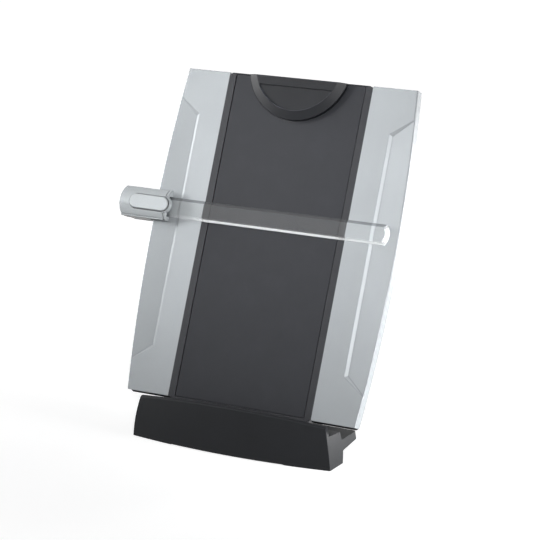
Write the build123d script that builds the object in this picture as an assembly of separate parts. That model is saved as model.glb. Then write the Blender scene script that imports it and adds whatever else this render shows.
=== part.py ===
from build123d import *
import os
from math import acos, cos, pi, radians, sin, tan

os.makedirs("parts", exist_ok=True)

# Desk copy holder with a clear line guide: a moulded foot, a leaning panel, a sprung paper clip,
# a line guide on a slider, and an easel leg behind. Millimetres, +Z up, -Y is the reader's side.

# ------------------------------------------------------------------ driving dimensions: panel
LEAN = 22.7                     # how far the panel leans back from upright, in degrees
PANEL_FOOT_Y = 15.8             # front bottom edge of the panel, measured from the foot's front
PANEL_FOOT_Z = 38.2             # and above the desk
PANEL_LENGTH = 305.0            # along the lean
PANEL_END_HALF = 118.0          # half width at the top and bottom corners
PANEL_BULGE = 7.6               # how far each long side bows out at mid length
PANEL_DEPTH = 9.0               # depth of the panel's edge
SKIN = 2.2                      # wall of the silver mouldings
COVER_THICKNESS = 2.2
FIT_GAP = 0.3                   # assembly gap between neighbouring mouldings

CENTRE_HALF = 74.0              # half width of the black centre
BOARD_HALF = 67.2               # half width of the recess for the memo board
BOARD_LOW, BOARD_HIGH = 0.8, 304.2
BOARD_THICKNESS = 3.0
BOARD_GAP = 0.7                 # dark gap on both long sides of the board
BOARD_END_GAP = 0.2
FRAME_DEPTH = PANEL_DEPTH - COVER_THICKNESS - 0.1
HEEL_DROP = 6.0                 # the frame's lip below the panel's bottom edge
HEEL_HALF = 71.0

FACET_INNER = 98.3              # straight inner edge of the wing's sunk facet
FACET_OUTER = 124.0             # where the facet's plane comes back up to the surface
FACET_DEPTH = 1.9
FACET_STEP = 3.0                # width of the sloped step round the facet
FACET_LOW, FACET_HIGH = 42.8, 263.4
FACET_DIAGONAL = 0.675          # rise of the facet's slanted ends for each mm outwards

# ------------------------------------------------------------------ driving dimensions: foot
FOOT_HALF = 102.0               # half width of the foot at the desk
FOOT_END_DRAFT = 0.1736         # how much each end leans in for each mm of height
FOOT_BOW = 9.0                  # how far the front wall bows towards the reader
FOOT_FRONT_SETBACK = 0.0803     # how much the front wall leans back for each mm of height
FOOT_SWELL = 1.0                # outward swell of the walls at mid height
LIP_HEIGHT = 38.6               # top of the front lip at the ends
LIP_ARCH = 5.9                  # how much higher the lip is at mid width
LIP_THICKNESS = 3.2
LIP_BEVEL = 1.2                 # bevel along the lip's top front edge
TROUGH_FRONT_Z, TROUGH_BACK_Z = 29.9, 28.4
BLOCK_BACK_LOW, BLOCK_BACK_HIGH = 24.4, 27.0
TROUGH_BACK_Y = 25.8
SHELF_TOP = 21.0
SHELF_BACK_Y = 56.0
SHELF_UNDER_FRONT, SHELF_UNDER_BACK = 11.3, 14.6
FOOT_WALL = 2.6
ARCH_HALF = 58.0                # the raised middle of the foot's underside
ARCH_HEIGHT = 0.9

# ------------------------------------------------------------------ driving dimensions: tilt hinge
TILT_V, TILT_DROP = 4.0, 5.0    # hinge axis: along the panel, and behind its back
TILT_X = 52.0                   # middle of each hinge from the centre
LUG_WIDTH = 11.0
EAR_WIDTH = 4.5
WASHER_THICKNESS = 0.6
LUG_RADIUS, EAR_RADIUS = 5.0, 4.6
PIN_RADIUS = 2.0
RUNNING = 0.05                  # radial clearance of a pin in its bore

# ------------------------------------------------------------------ driving dimensions: easel leg
LEG_V, LEG_DROP = 168.0, 8.0
LEG_ANGLE = 15.5                # of the leg from upright, at rest
LEG_TOP_HALF, LEG_FOOT_HALF = 20.0, 35.0
LEG_THICKNESS = 3.2
LEG_FLANGE = 7.0
LEG_PAD = 1.6

# ------------------------------------------------------------------ driving dimensions: clip
CLIP_TOP_V = 304.2
CLIP_RADIUS = 51.9
CLIP_CENTRE_V = 317.6
CLIP_EDGE_Z, CLIP_HEIGHT = 4.8, 8.0
CLIP_BACK_Z = 0.9               # back edge of the clip's rim, just off the board
CLIP_TURN_Z = 2.3               # back of the clip above its hinge, clear as it opens
CLIP_SLOPE = 8.0                # width of the sloped rim
CLIP_HINGE_V, CLIP_HINGE_Z = 299.6, 2.5
CLIP_KNUCKLE = 2.5
CLIP_PIN = 1.0

# ------------------------------------------------------------------ driving dimensions: line guide
GUIDE_V = 171.7                 # middle of the guide bar along the panel
HOUSING_V = 172.8               # middle of the slider
BAR_HEIGHT = 18.6
BAR_LEFT, BAR_RIGHT = -123.0, 120.0
BAR_BACK_Z, BAR_FRONT_Z = 6.5, 11.0
BAR_BEVEL = 2.8
BAR_END_BOW = 3.2
HOUSING_LEFT, HOUSING_RIGHT = -156.5, -105.5
HOUSING_HALF = 14.2
BEAD_WIDTH, BEAD_RISE = 3.2, 0.9
GROOVE_WIDTH, GROOVE_DEPTH = 0.5, 0.6
HOUSING_EDGE_Z, HOUSING_RIDGE_Z = 8.0, 15.0
HOUSING_BACK_Z = -2.0
HOUSING_WALL = 2.0
OVER_PANEL_Z = 6.2              # underside of the slider where it reaches over the panel
SLIDER_BACK_Z = -16.2
EDGE_CLEAR = -127.4             # inner side of the slider past the panel's widest point
BUTTON_LEFT, BUTTON_RIGHT = -145.0, -103.6
BUTTON_HEIGHT = 13.2
WELL_GAP = 0.7                  # gap between the button and the well it sits in
COLLAR_WALL = 1.0
BUTTON_TOP_Z = 16.6
BUTTON_TRAVEL = 1.5
BRAKE_TRAVEL = 0.6
WELL_FLOOR = 12.0
RAIL_U, RAIL_HALF, RAIL_STEM = -110.0, 4.0, 2.0
RAIL_LOW, RAIL_HIGH = 12.0, 293.0

# ------------------------------------------------------------------ reference frames
PANEL = Plane(
    origin=(0, PANEL_FOOT_Y, PANEL_FOOT_Z),
    x_dir=(1, 0, 0),
    z_dir=(0, -cos(radians(LEAN)), sin(radians(LEAN))),
).location


def on_panel(u, v, z):
    """World place of a point given along the panel: u across, v up the lean, z to the reader."""
    return (PANEL * Pos(u, v, z)).position


TILT_AXIS = on_panel(0, TILT_V, -PANEL_DEPTH - TILT_DROP)
LEG_AXIS = on_panel(0, LEG_V, -PANEL_DEPTH - LEG_DROP)
LEG = Plane(
    origin=LEG_AXIS,
    x_dir=(1, 0, 0),
    z_dir=(0, -cos(radians(LEG_ANGLE)), -sin(radians(LEG_ANGLE))),
).location
LEG_LENGTH = LEG_AXIS.Z / cos(radians(LEG_ANGLE))


# ------------------------------------------------------------------ small helpers
def block(x_span, y_span, z_span):
    """Box between three pairs of limits."""
    size = [high - low for low, high in (x_span, y_span, z_span)]
    middle = [(high + low) / 2 for low, high in (x_span, y_span, z_span)]
    return Pos(*middle) * Box(*size)


def rod(radius, low, high):
    """Cylinder along Z between two heights."""
    return Pos(0, 0, (low + high) / 2) * Cylinder(radius, high - low)


def cross_rod(radius, half, at=(0, 0)):
    """Cylinder along X, centred on X = 0, at the place (y, z)."""
    return Pos(0, *at) * Rot(0, 90, 0) * Cylinder(radius, 2 * half)


def prism(radius, low, high, sides=12):
    """Many-sided upright prism for small hidden round forms such as screws and their bosses."""
    return Pos(0, 0, low) * extrude(RegularPolygon(radius, sides), amount=high - low)


def group(solids):
    """Separate solids kept together as one node."""
    return Compound(children=list(solids))


def both_sides(solid):
    """A solid and its mirror image across the centre."""
    return [solid, mirror(solid, Plane.YZ)]


def screw(head_radius, head_height, shank_radius, length):
    """Pan-head screw with a cross recess; its head sits below Z = 0 and the shank points up."""
    head = prism(head_radius, -head_height, 0, 10)
    recess = 0.28 * head_radius
    depth = 0.5 * head_height
    for angle in (0, 90):
        slot = Pos(0, 0, -head_height) * Rot(0, 0, angle) * Box(3.2 * recess, recess, 2 * depth)
        head -= slot
    return head + prism(shank_radius, 0, length, 6)


def screw_hole(head_radius, head_height, shank_radius, length):
    """Counterbored clearance for the same screw."""
    return prism(head_radius + 0.2, -head_height - 0.6, 0) + prism(shank_radius + 0.1, 0, length, 8)


def pilot_hole(shank_radius, low, high):
    """Hole that the thread of a screw bites into."""
    return prism(shank_radius + 0.02, low, high, 6)


# ------------------------------------------------------------------ the foot
def foot_swell(height):
    """Outward swell of the walls, nothing at the desk and at the lip's ends."""
    part = height / LIP_HEIGHT
    return 4 * FOOT_SWELL * part * (1 - part)


def foot_half(height):
    return FOOT_HALF - FOOT_END_DRAFT * height + foot_swell(height)


def foot_corner_y(height):
    return FOOT_FRONT_SETBACK * height - foot_swell(height)


def foot_outline(height, inset, back_y, round_corner=0.0):
    """Plan of the foot at a height: bowed front, straight ends, square back."""
    half = foot_half(height) - inset
    corner_y = foot_corner_y(height) + inset
    front = ThreePointArc((-half, corner_y), (0, corner_y - FOOT_BOW), (half, corner_y))
    rest = Polyline((half, corner_y), (half, back_y), (-half, back_y), (-half, corner_y))
    plan = make_face(Curve() + [front, rest])
    if round_corner:
        plan = fillet(plan.vertices().group_by(Axis.Y)[-1], round_corner)
    return Pos(0, 0, height) * plan


def lip_arch_cut():
    """Everything above the arched top of the front lip."""
    half = FOOT_HALF + 10
    radius = (foot_half(LIP_HEIGHT) ** 2 + LIP_ARCH**2) / (2 * LIP_ARCH)
    top = LIP_HEIGHT + LIP_ARCH
    low = top - radius + (radius**2 - half**2) ** 0.5
    curve = ThreePointArc((-half, low), (0, top), (half, low))
    rest = Polyline((half, low), (half, top + 30), (-half, top + 30), (-half, low))
    profile = Plane.XZ * make_face(Curve() + [curve, rest])
    return Pos(0, 60, 0) * extrude(profile, amount=120)


def trough_cut():
    """The paper trough: parallel to the bowed front wall, open at the back and both ends."""
    inset = LIP_THICKNESS
    levels = (SHELF_TOP - 3, LIP_HEIGHT + 12)
    sections = []
    for height in levels:
        half = FOOT_HALF + 20
        reach = foot_half(height)
        corner_y = foot_corner_y(height) + inset
        front = ThreePointArc((-reach, corner_y), (0, corner_y - FOOT_BOW), (reach, corner_y))
        rest = Polyline(
            (reach, corner_y), (half, corner_y), (half, 80), (-half, 80), (-half, corner_y),
            (-reach, corner_y),
        )
        sections.append(Pos(0, 0, height) * make_face(Curve() + [front, rest]))
    hollow = loft(sections)
    floor_side = Polyline(
        (-30, TROUGH_FRONT_Z + 2.8),
        (TROUGH_BACK_Y, TROUGH_BACK_Z),
        (BLOCK_BACK_HIGH, SHELF_TOP),
        (90, SHELF_TOP),
        (90, 0),
        (-30, 0),
        close=True,
    )
    floor_side = Plane.YZ * make_face(floor_side)
    below_floor = Pos(-FOOT_HALF - 30, 0, 0) * extrude(floor_side, amount=2 * FOOT_HALF + 60)
    return hollow - below_floor


def foot_back_cut():
    """What lies behind the block and under the shelf."""
    side = Polyline(
        (BLOCK_BACK_LOW, -5),
        (BLOCK_BACK_LOW, 0),
        (BLOCK_BACK_HIGH, SHELF_UNDER_FRONT),
        (SHELF_BACK_Y + 20, SHELF_UNDER_BACK + 2.2),
        (SHELF_BACK_Y + 20, -5),
        close=True,
    )
    side = Plane.YZ * make_face(side)
    return Pos(-FOOT_HALF - 30, 0, 0) * extrude(side, amount=2 * FOOT_HALF + 60)


FOOT_SCREW_SHANK, BRACKET_SCREW_SHANK = 1.15, 1.15
FOOT_SCREWS = [(x, 11.0) for x in (-86.0, -30.0, 30.0, 86.0)]
BRACKET_SCREW_REACH = 14.4      # from the middle of a hinge to its two screws
BRACKET_SCREWS = [(TILT_X - BRACKET_SCREW_REACH, 39.0), (TILT_X + BRACKET_SCREW_REACH, 39.0)]
CAVITY_TOP = 25.4


def foot_cavity():
    """Hollow underside of the block, with round bosses left for the base plate's screws."""
    low = foot_outline(0, FOOT_WALL + 0.4, BLOCK_BACK_LOW - FOOT_WALL)
    high = foot_outline(CAVITY_TOP, FOOT_WALL + 0.4, BLOCK_BACK_LOW - FOOT_WALL)
    hollow = loft([low, high])
    for x, y in FOOT_SCREWS:
        hollow -= Pos(x, y, 0) * prism(3.6, 3.4, CAVITY_TOP)
    for x in (-58.0, 0.0, 58.0):
        hollow -= block((x - 0.9, x + 0.9), (-20, 40), (3.4, CAVITY_TOP))
    return hollow


def shelf_hollow():
    """Open space under the shelf, with ribs and with bosses for the hinge screws."""
    hollow = block((-86, 86), (31, 52), (SHELF_UNDER_FRONT - 2, SHELF_TOP - 2.6))
    for x in (-26.0, 0.0, 26.0):
        hollow -= block((x - 0.9, x + 0.9), (29, 54), (0, 30))
    for x, y in BRACKET_SCREWS:
        for boss in both_sides(Pos(x, y, 0) * prism(3.4, 0, 30)):
            hollow -= boss
    return hollow


def bevel_lip(body):
    """Bevels the two long top edges of the front lip, the front one wider than the back one."""
    tops = [edge for edge in body.edges() if edge.center().Z > LIP_HEIGHT + 0.5 * LIP_ARCH]
    long_ones = ShapeList(edge for edge in tops if edge.length > FOOT_HALF)
    body = chamfer(long_ones.sort_by(Axis.Y)[0], LIP_BEVEL)
    tops = [edge for edge in body.edges() if edge.center().Z > LIP_HEIGHT + 0.5 * LIP_ARCH]
    long_ones = ShapeList(edge for edge in tops if edge.length > FOOT_HALF)
    return chamfer(long_ones.sort_by(Axis.Y)[-1], 0.5 * LIP_BEVEL)


def base_body():
    """Moulded foot: bowed front lip, paper trough, and the shelf that carries the panel."""
    levels = (0, LIP_HEIGHT / 2, LIP_HEIGHT + LIP_ARCH + 2)
    outer = loft([foot_outline(h, 0, SHELF_BACK_Y, 3.5) for h in levels])
    body = outer - lip_arch_cut() - trough_cut() - foot_back_cut()
    body = bevel_lip(body)
    body -= foot_cavity()
    body -= block((-ARCH_HALF, ARCH_HALF), (-30, 40), (-1, ARCH_HEIGHT))
    body -= block((-120, 120), (-30, 40), (-1, 0.4))
    body -= shelf_hollow()
    for x, y in FOOT_SCREWS:
        body -= Pos(x, y, 0) * pilot_hole(FOOT_SCREW_SHANK, 0, 18)
    for x, y in BRACKET_SCREWS:
        for hole in both_sides(Pos(x, y, 0) * pilot_hole(BRACKET_SCREW_SHANK, 16.5, 30)):
            body -= hole
    return body


def base_plate():
    """Flat cover of the foot's underside."""
    inset = FOOT_WALL + 0.6
    plate = loft([foot_outline(h, inset, BLOCK_BACK_LOW - FOOT_WALL - 0.2) for h in (1.0, 3.2)])
    for x, y in FOOT_SCREWS:
        plate -= Pos(x, y, 2.4) * screw_hole(2.4, 1.4, FOOT_SCREW_SHANK, 3)
    return plate


def base_plate_screws():
    return group(Pos(x, y, 2.4) * screw(2.4, 1.2, FOOT_SCREW_SHANK, 10) for x, y in FOOT_SCREWS)


PAD_ROWS = (4.6, 17.0)


def rubber_feet():
    """Four pads that the foot stands on."""
    pads = []
    for x in (-76.0, 76.0):
        for y in PAD_ROWS:
            outline = chamfer(Rectangle(14, 6).vertices(), 1.5)
            pads.append(Pos(x, y, 0) * extrude(outline, amount=1.0))
    return group(pads)


# ------------------------------------------------------------------ the tilt hinge
BRACKET_FRONT = 27.5
BRACKET_PLATE = 2.4


def pivot_bracket(side):
    """Clevis that stands on the shelf and takes one of the panel's lugs between two ears."""
    half = LUG_WIDTH / 2 + WASHER_THICKNESS + 0.1
    axis_y, axis_z = TILT_AXIS.Y, TILT_AXIS.Z
    ear = make_hull(
        (
            Pos(axis_y, axis_z) * Circle(EAR_RADIUS)
            + Pos(BRACKET_FRONT + 8, SHELF_TOP + 1.2) * Rectangle(16, 2.4)
        ).edges()
    )
    ear = Plane.YZ * ear
    reach = BRACKET_SCREW_REACH + 3.4
    body = block(
        (-reach, reach),
        (BRACKET_FRONT, BRACKET_FRONT + 22.5),
        (SHELF_TOP, SHELF_TOP + BRACKET_PLATE),
    )
    body = chamfer(body.edges().filter_by(Axis.Z), 2)
    for x in (-half - EAR_WIDTH, half):
        body += Pos(x, 0, 0) * extrude(ear, amount=EAR_WIDTH)
    body -= cross_rod(PIN_RADIUS + RUNNING, 20, (axis_y, axis_z))
    body = Pos(side * TILT_X, 0, 0) * body
    for x, y in BRACKET_SCREWS:
        body -= Pos(side * x, y, 0) * prism(BRACKET_SCREW_SHANK + 0.2, 0, SHELF_TOP + 30, 8)
    return body


def bracket_screws():
    """Screws that hold both hinge brackets on the shelf."""
    turned = Rot(180, 0, 0) * screw(2.4, 1.4, BRACKET_SCREW_SHANK, 6.4)
    places = [(side * x, y) for side in (-1, 1) for x, y in BRACKET_SCREWS]
    return group(Pos(x, y, SHELF_TOP + BRACKET_PLATE) * turned for x, y in places)


def washer(radius, thickness):
    """Flat washer for a hinge pin."""
    ring = prism(radius, -thickness / 2, thickness / 2)
    return ring - prism(PIN_RADIUS + 0.15, -thickness, thickness)


def pivot_pin(side):
    """Headed steel pin through the ears and the lug."""
    reach = LUG_WIDTH / 2 + WASHER_THICKNESS + EAR_WIDTH + 0.9
    pin = rod(PIN_RADIUS, -reach, reach) + prism(3.2, reach, reach + 1.4, 16)
    pin += prism(2.6, -reach - 0.8, -reach, 16)
    return Pos(side * TILT_X, TILT_AXIS.Y, TILT_AXIS.Z) * Rot(0, 90 * side, 0) * pin


def pivot_washers():
    """Friction washers between each ear and the lug."""
    washers = []
    for x in (-TILT_X, TILT_X):
        for face in (-1, 1):
            offset = face * (LUG_WIDTH / 2 + WASHER_THICKNESS / 2 + 0.1)
            ring = washer(4.6, WASHER_THICKNESS)
            washers.append(Pos(x + offset, TILT_AXIS.Y, TILT_AXIS.Z) * Rot(0, 90, 0) * ring)
    return group(washers)


# ------------------------------------------------------------------ the panel
def wing_region(inner, inset):
    """Right-hand side of the panel's outline: straight inside, barrel-curved outside."""
    low, high = inset, PANEL_LENGTH - inset
    end = PANEL_END_HALF - inset
    edge = ThreePointArc((end, low), (end + PANEL_BULGE, PANEL_LENGTH / 2), (end, high))
    rest = Polyline((end, high), (inner, high), (inner, low), (end, low))
    return make_face(Curve() + [edge, rest])


def facet_outline(step, z):
    """Outline of the sunk facet, moved in by the width of its sloped step."""
    inner = FACET_INNER + step
    shift = step * (FACET_DIAGONAL - (1 + FACET_DIAGONAL**2) ** 0.5)
    outer = PANEL_END_HALF + PANEL_BULGE + 6
    rise = FACET_DIAGONAL * (outer - inner)
    high = FACET_HIGH + shift
    low = FACET_LOW - shift
    corners = [(inner, low), (outer, low - rise), (outer, high + rise), (inner, high)]
    return Pos(0, 0, z) * make_face(Polyline(*corners, close=True))


def facet_cut():
    """Facet of a wing: deepest along a straight inner line, flush at the outer edge."""
    overlap = 1.0
    slope = FACET_STEP / FACET_DEPTH
    top = facet_outline(-overlap * slope, overlap)
    bottom = facet_outline((FACET_DEPTH + overlap) * slope, -FACET_DEPTH - overlap)
    hollow = loft([top, bottom], ruled=True)
    tilt = FACET_DEPTH / (FACET_OUTER - FACET_INNER - FACET_STEP)
    reach = 40
    under = Polyline(
        (FACET_OUTER - reach, -reach * tilt),
        (FACET_OUTER + reach, reach * tilt),
        (FACET_OUTER + reach, -20),
        (FACET_OUTER - reach, -20),
        close=True,
    )
    under = extrude(Plane.XZ * make_face(under), amount=-PANEL_LENGTH)
    return hollow - under


WING_BOSSES = [(90.0, 30.0), (117.0, 152.5), (90.0, 275.0)]
COVER_SCREW_SHANK, COVER_SCREW_LENGTH = 1.05, 4.2
COVER_SCREW_Z = -PANEL_DEPTH + 1.3


def wing_right():
    """Silver moulding: skin, deep outer edge, sunk facet, and bosses for the rear cover."""
    body = extrude(wing_region(CENTRE_HALF, 0), amount=-PANEL_DEPTH)
    outer_edges = body.edges().group_by(Axis.Z)[-1].sort_by(Axis.X)[-1]
    body = chamfer(outer_edges, 0.8)
    body -= facet_cut()
    back_depth = PANEL_DEPTH - FACET_DEPTH - SKIN
    back = extrude(wing_region(CENTRE_HALF + SKIN, SKIN), amount=back_depth)
    hollow = Pos(0, 0, -PANEL_DEPTH) * back
    hollow += block(
        (CENTRE_HALF + SKIN, FACET_INNER - 2),
        (SKIN, PANEL_LENGTH - SKIN),
        (-PANEL_DEPTH + back_depth, -SKIN),
    )
    # the inner wall stops short of the rear cover
    hollow += block(
        (CENTRE_HALF - 1, CENTRE_HALF + SKIN + 1),
        (SKIN, PANEL_LENGTH - SKIN),
        (-PANEL_DEPTH, -FRAME_DEPTH),
    )
    cover_front = -PANEL_DEPTH + COVER_THICKNESS
    pilot_top = COVER_SCREW_Z + COVER_SCREW_LENGTH + 0.2
    for u, v in WING_BOSSES:
        hollow -= Pos(u, v, 0) * prism(3.2, cover_front, 0)
        hollow += Pos(u, v, 0) * pilot_hole(COVER_SCREW_SHANK, cover_front, pilot_top)
    return body - hollow


def centre_frame():
    """Black tray between the wings, with a recess for the memo board and a heel at the foot."""
    length = PANEL_LENGTH
    corner = 3.0
    outline = Polyline(
        (-CENTRE_HALF, 0),
        (CENTRE_HALF, 0),
        (CENTRE_HALF, length - corner),
        (CENTRE_HALF - corner, length),
        (-CENTRE_HALF + corner, length),
        (-CENTRE_HALF, length - corner),
        close=True,
    )
    outline = make_face(outline)
    body = extrude(outline, amount=-PANEL_DEPTH)
    body -= block(
        (-CENTRE_HALF - 1, CENTRE_HALF + 1),
        (SKIN, length - SKIN),
        (-PANEL_DEPTH - 1, -FRAME_DEPTH),
    )
    body += block((-HEEL_HALF, HEEL_HALF), (-HEEL_DROP, 1), (-3.0, 0))
    recess_floor = -BOARD_THICKNESS - 0.4
    body -= block((-BOARD_HALF, BOARD_HALF), (BOARD_LOW, BOARD_HIGH), (recess_floor, 2))
    body -= back_ribs(recess_floor - 1.4)
    lug = block((-2.6, 2.6), (CLIP_HINGE_V - 5, CLIP_HINGE_V + 2.0), (recess_floor, CLIP_HINGE_Z))
    lug += cross_rod(CLIP_KNUCKLE, 2.6, (CLIP_HINGE_V, CLIP_HINGE_Z))
    for side in (-1, 1):
        body += Pos(side * 11.0, 0, 0) * lug
    body -= cross_rod(CLIP_PIN, 30, (CLIP_HINGE_V, CLIP_HINGE_Z))
    return body


RIB_HALF = 0.8


def back_ribs(top):
    """Pockets of the rib grid behind the frame's floor."""
    pockets = []
    columns, rows = 3, 5
    width = 2 * (CENTRE_HALF - 4) / columns
    height = (PANEL_LENGTH - 10) / rows
    for i in range(columns):
        for j in range(rows):
            x = -CENTRE_HALF + 4 + i * width
            y = 5 + j * height
            across = (x + RIB_HALF, x + width - RIB_HALF)
            along = (y + RIB_HALF, y + height - RIB_HALF)
            pockets.append(block(across, along, (-FRAME_DEPTH - 1, top)))
    return pockets


def memo_board():
    """Inner board, with a notch at the top for the clip's hinge."""
    half = BOARD_HALF - BOARD_GAP
    low, high = BOARD_LOW + BOARD_END_GAP, BOARD_HIGH - BOARD_END_GAP
    board = block((-half, half), (low, high), (-BOARD_THICKNESS - 0.2, -0.2))
    board = chamfer(board.edges().group_by(Axis.Z)[-1], 0.4)
    return board - block((-23, 23), (CLIP_HINGE_V - 6.5, high + 5), (-10, 5))


LEG_LUG_X, LEG_LUG_WIDTH = 27.0, 5.0


def rear_cover():
    """Back of the panel, with lugs for the tilt hinge and the easel leg."""
    inset = SKIN + FIT_GAP
    right = wing_region(0, inset)
    outline = right + mirror(right, Plane.YZ)
    body = Pos(0, 0, -PANEL_DEPTH) * extrude(outline, amount=COVER_THICKNESS)
    tilt_lug = lug_profile(TILT_V, TILT_DROP, LUG_RADIUS, 16, 4)
    for x in (-TILT_X, TILT_X):
        body += Pos(x - LUG_WIDTH / 2, 0, 0) * extrude(Plane.YZ * tilt_lug, amount=LUG_WIDTH)
    leg_lug = lug_profile(LEG_V, LEG_DROP, LUG_RADIUS, 12, 12)
    for x in (-LEG_LUG_X, LEG_LUG_X):
        side_view = Plane.YZ * leg_lug
        body += Pos(x - LEG_LUG_WIDTH / 2, 0, 0) * extrude(side_view, amount=LEG_LUG_WIDTH)
    body -= cross_rod(PIN_RADIUS + RUNNING, 80, (TILT_V, -PANEL_DEPTH - TILT_DROP))
    body -= cross_rod(PIN_RADIUS + RUNNING, 40, (LEG_V, -PANEL_DEPTH - LEG_DROP))
    for side in (-1, 1):
        for u, v in WING_BOSSES:
            place = Pos(side * u, v, COVER_SCREW_Z)
            body -= place * screw_hole(2.2, 1.3, COVER_SCREW_SHANK + 0.1, 3)
    for v in RAIL_SCREWS:
        body -= Pos(RAIL_U, v, 0) * pilot_hole(RAIL_SCREW_SHANK, -PANEL_DEPTH - 1, 0)
    return body


def lug_profile(v, drop, radius, above, below):
    """Side view of a lug that grows out of the cover's back round a hinge axis."""
    low = max(v - below, SKIN + 1.0)
    knuckle = Pos(v, -PANEL_DEPTH - drop) * Circle(radius)
    root = Pos((low + v + above) / 2, -PANEL_DEPTH + 0.1) * Rectangle(v + above - low, 1.0)
    return make_hull((knuckle + root).edges())


def rear_cover_screws():
    places = [(side * u, v) for side in (-1, 1) for u, v in WING_BOSSES]
    one = screw(2.2, 1.1, COVER_SCREW_SHANK, COVER_SCREW_LENGTH)
    return group(Pos(u, v, COVER_SCREW_Z) * one for u, v in places)


# ------------------------------------------------------------------ the easel leg
def easel_leg():
    """Tapered, flanged leg with a hinge barrel at the top and a foot cut flat to the desk."""
    barrel_half = LEG_LUG_X - LEG_LUG_WIDTH / 2 - 0.7
    length = LEG_LENGTH + 12
    outline = Polyline(
        (-LEG_TOP_HALF, -3),
        (LEG_TOP_HALF, -3),
        (LEG_FOOT_HALF, -length),
        (-LEG_FOOT_HALF, -length),
        close=True,
    )
    outline = make_face(outline)
    web = extrude(outline, amount=LEG_THICKNESS / 2, both=True)
    shell = Pos(0, 0, LEG_THICKNESS / 2) * extrude(outline, amount=-LEG_FLANGE)
    pocket_outline = Polyline(
        (-LEG_TOP_HALF + 3.2, -14),
        (LEG_TOP_HALF - 3.2, -14),
        (LEG_FOOT_HALF - 4.2, -LEG_LENGTH + 14),
        (-LEG_FOOT_HALF + 4.2, -LEG_LENGTH + 14),
        close=True,
    )
    pocket = extrude(make_face(pocket_outline), amount=-LEG_FLANGE - 2)
    body = web + (shell - pocket)
    window = Pos(0, -0.55 * LEG_LENGTH) * RectangleRounded(26, 92, 8)
    body -= extrude(window, amount=20, both=True)
    body += cross_rod(5.0, barrel_half)
    body -= cross_rod(PIN_RADIUS + RUNNING, 40)
    body = LEG * body
    return body - block((-80, 80), (0, 260), (-80, LEG_PAD))


def leg_foot_span():
    """Front and back of the leg's sole on the desk."""
    slant = tan(radians(LEG_ANGLE))
    middle = LEG_AXIS.Y + (LEG_AXIS.Z - LEG_PAD) * slant
    front = middle - LEG_THICKNESS / 2 / cos(radians(LEG_ANGLE))
    back = middle + (LEG_FLANGE - LEG_THICKNESS / 2) / cos(radians(LEG_ANGLE))
    return front, back


def leg_foot_pad():
    """Rubber sole of the leg."""
    front, back = leg_foot_span()
    return block((-33, 33), (front + 0.8, back - 0.8), (0, LEG_PAD))


def leg_pin():
    """Headed steel pin through the lugs and the leg's barrel."""
    reach = LEG_LUG_X + LEG_LUG_WIDTH / 2 + 0.2
    pin = rod(PIN_RADIUS, -reach, reach) + prism(3.2, reach, reach + 1.4, 16)
    pin += prism(2.6, -reach - 0.8, -reach, 16)
    return Pos(*LEG_AXIS) * Rot(0, 90, 0) * pin


def leg_washers():
    """Friction washers at both ends of the leg's barrel."""
    washers = []
    for side in (-1, 1):
        offset = side * (LEG_LUG_X - LEG_LUG_WIDTH / 2 - 0.35)
        ring = washer(4.2, 0.5)
        washers.append(Pos(LEG_AXIS.X + offset, LEG_AXIS.Y, LEG_AXIS.Z) * Rot(0, 90, 0) * ring)
    return group(washers)


# ------------------------------------------------------------------ the paper clip
PAD_TOP, PAD_REACH = 1.4, 6.2   # seat of the rubber strip behind the clip's rim


def half_moon(radius, top):
    """Part of a disc below a straight top edge."""
    half = (radius**2 - (CLIP_CENTRE_V - top) ** 2) ** 0.5
    arc = ThreePointArc((-half, top), (0, CLIP_CENTRE_V - radius), (half, top))
    return make_face(Curve() + [arc, Line((half, top), (-half, top))])


def polar_point(radius, angle):
    """Point on a circle round the clip's centre, at an angle from straight down."""
    return (radius * sin(angle), CLIP_CENTRE_V - radius * cos(angle))


def faceted_moon(radius, top, runs=16):
    """Half moon with a rim of short straight runs, for the hidden side of the clip."""
    sweep = acos((CLIP_CENTRE_V - top) / radius)
    return make_face(Polyline(*faceted_arc(radius, sweep, runs), close=True))


def faceted_arc(radius, sweep, runs):
    return [polar_point(radius, sweep * (2 * i / runs - 1)) for i in range(runs + 1)]


def cone(low_radius, high_radius, low, high):
    """Round frustum on the clip's centre."""
    middle = Pos(0, CLIP_CENTRE_V, (low + high) / 2)
    return middle * Cone(low_radius, high_radius, high - low)


def below_top(solid, top):
    """What lies below a straight line across the clip."""
    return solid & block((-80, 80), (0, top), (-20, 20))


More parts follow.
